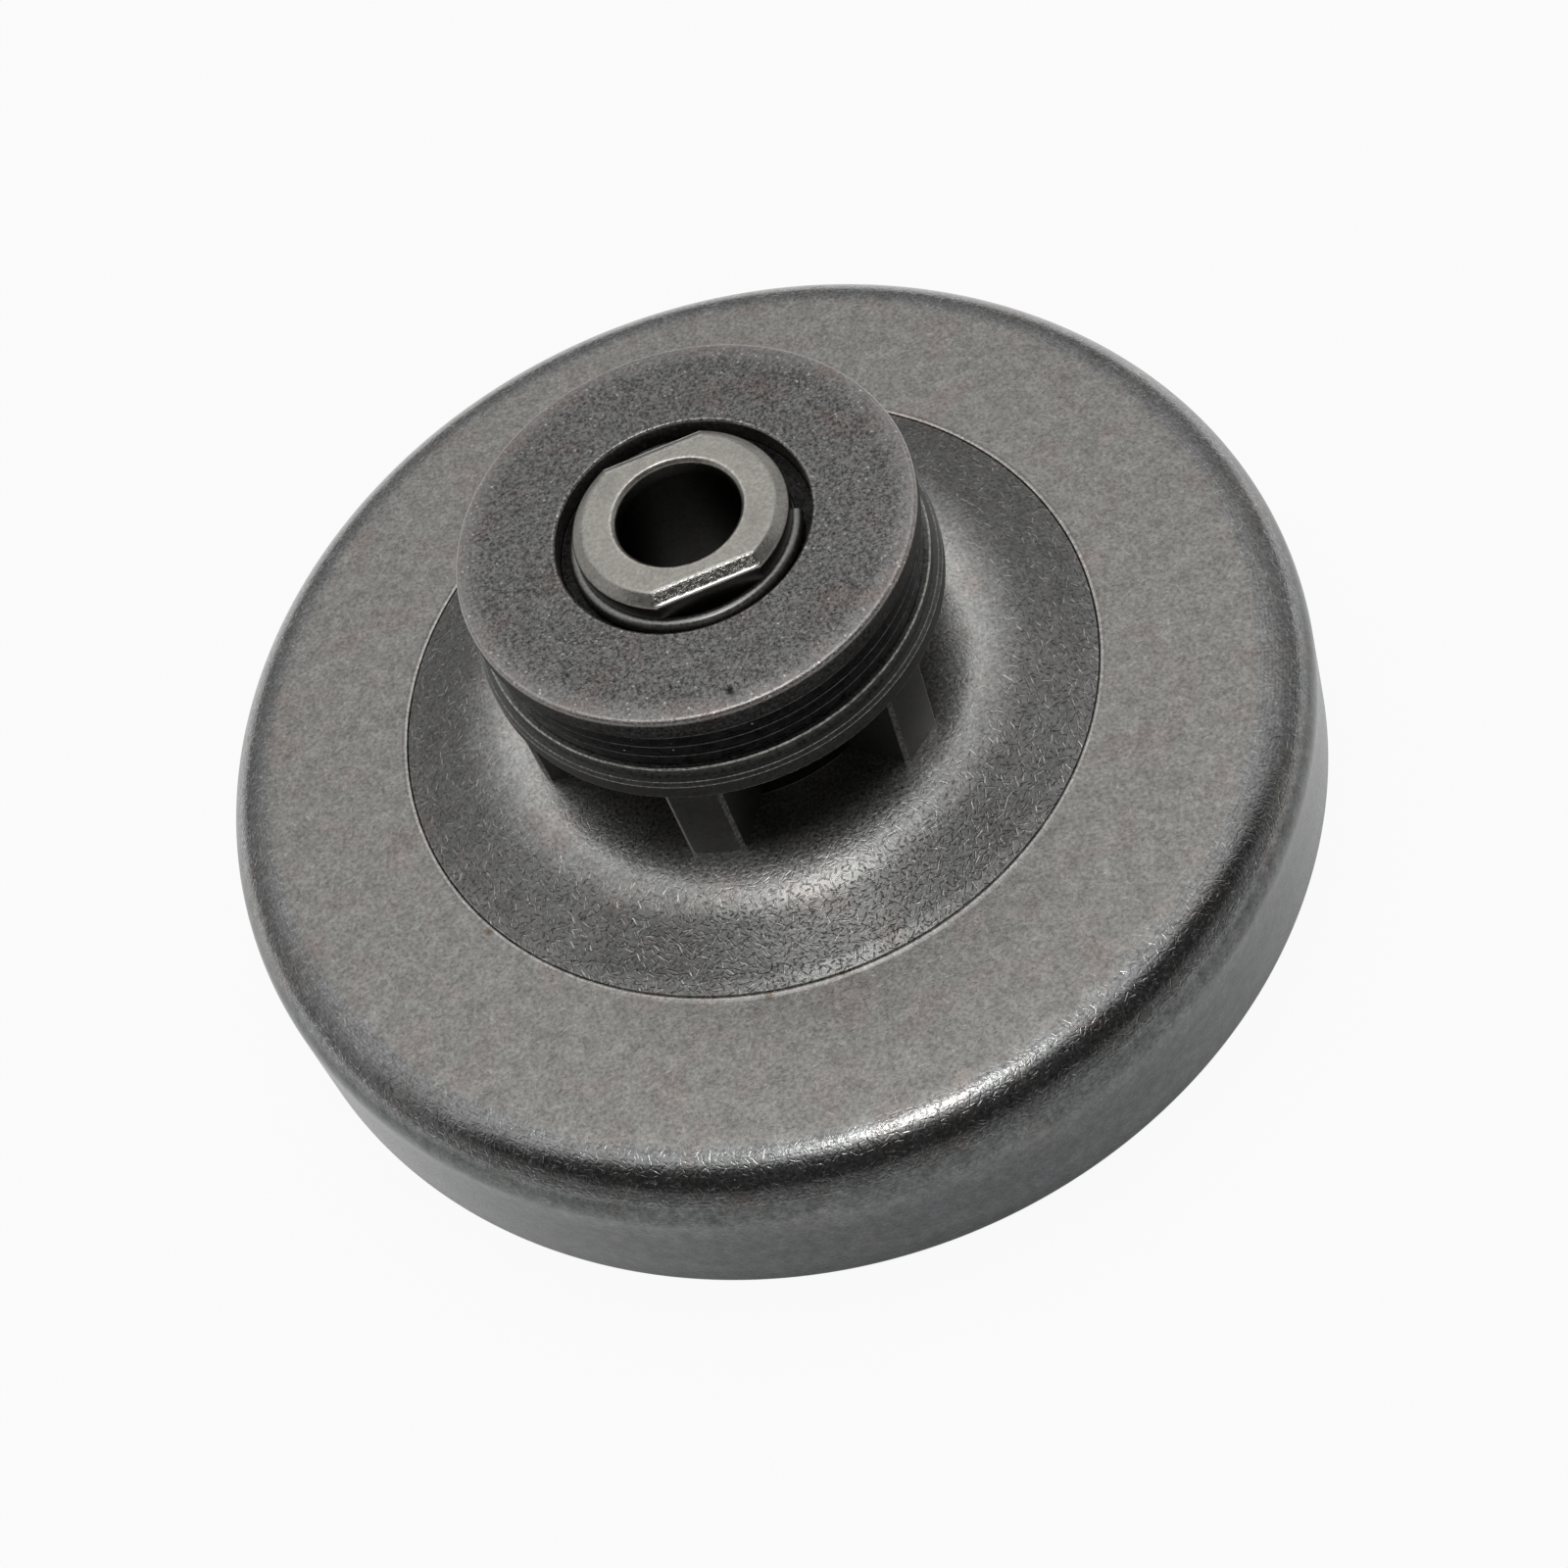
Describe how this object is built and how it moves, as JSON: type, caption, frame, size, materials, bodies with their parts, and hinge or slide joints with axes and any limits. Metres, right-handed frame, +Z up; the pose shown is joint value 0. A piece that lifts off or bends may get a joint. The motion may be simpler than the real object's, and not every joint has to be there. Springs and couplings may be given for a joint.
{
  "type": "chain saw sprocket with brake drum and slip clutch",
  "caption": "Spur chain sprocket on a pressed steel brake drum, with a spring loaded slip clutch on a keyed hub; it drives the chain of an electric saw.",
  "frame": {"origin": "middle of the plane of the drum's rim", "axes": "+Z up the bore, away from the rim; the hub's two flats face +Y and -Y"},
  "size_m": [0.0766, 0.0766, 0.0301],
  "materials": {
    "drum_steel": "tumbled",
    "sprocket_steel": "dark, smooth",
    "hub_steel": "turned, smooth",
    "washer_steel": "oiled",
    "spring_steel": "blackened, oiled",
    "sintered_steel": "sintered, mottled",
    "ring_wire": "drawn wire, oiled"
  },
  "bodies": {
    "drum": {"brake_drum": "drum_steel", "chain_sprocket": "sprocket_steel"},
    "hub": {"drive_hub": "hub_steel", "inner_friction_washer": "washer_steel", "friction_washer": "washer_steel", "disc_spring_1": "spring_steel", "disc_spring_2": "spring_steel", "disc_spring_3": "spring_steel", "pressure_disc": "sintered_steel", "snap_ring": "ring_wire"}
  },
  "joints": [
    {"name": "clutch_slip", "type": "hinge", "parent": "drum", "child": "hub", "pos_m": [0, 0, 0.02147], "axis": [0, 0, 1], "continuous": true}
  ]
}
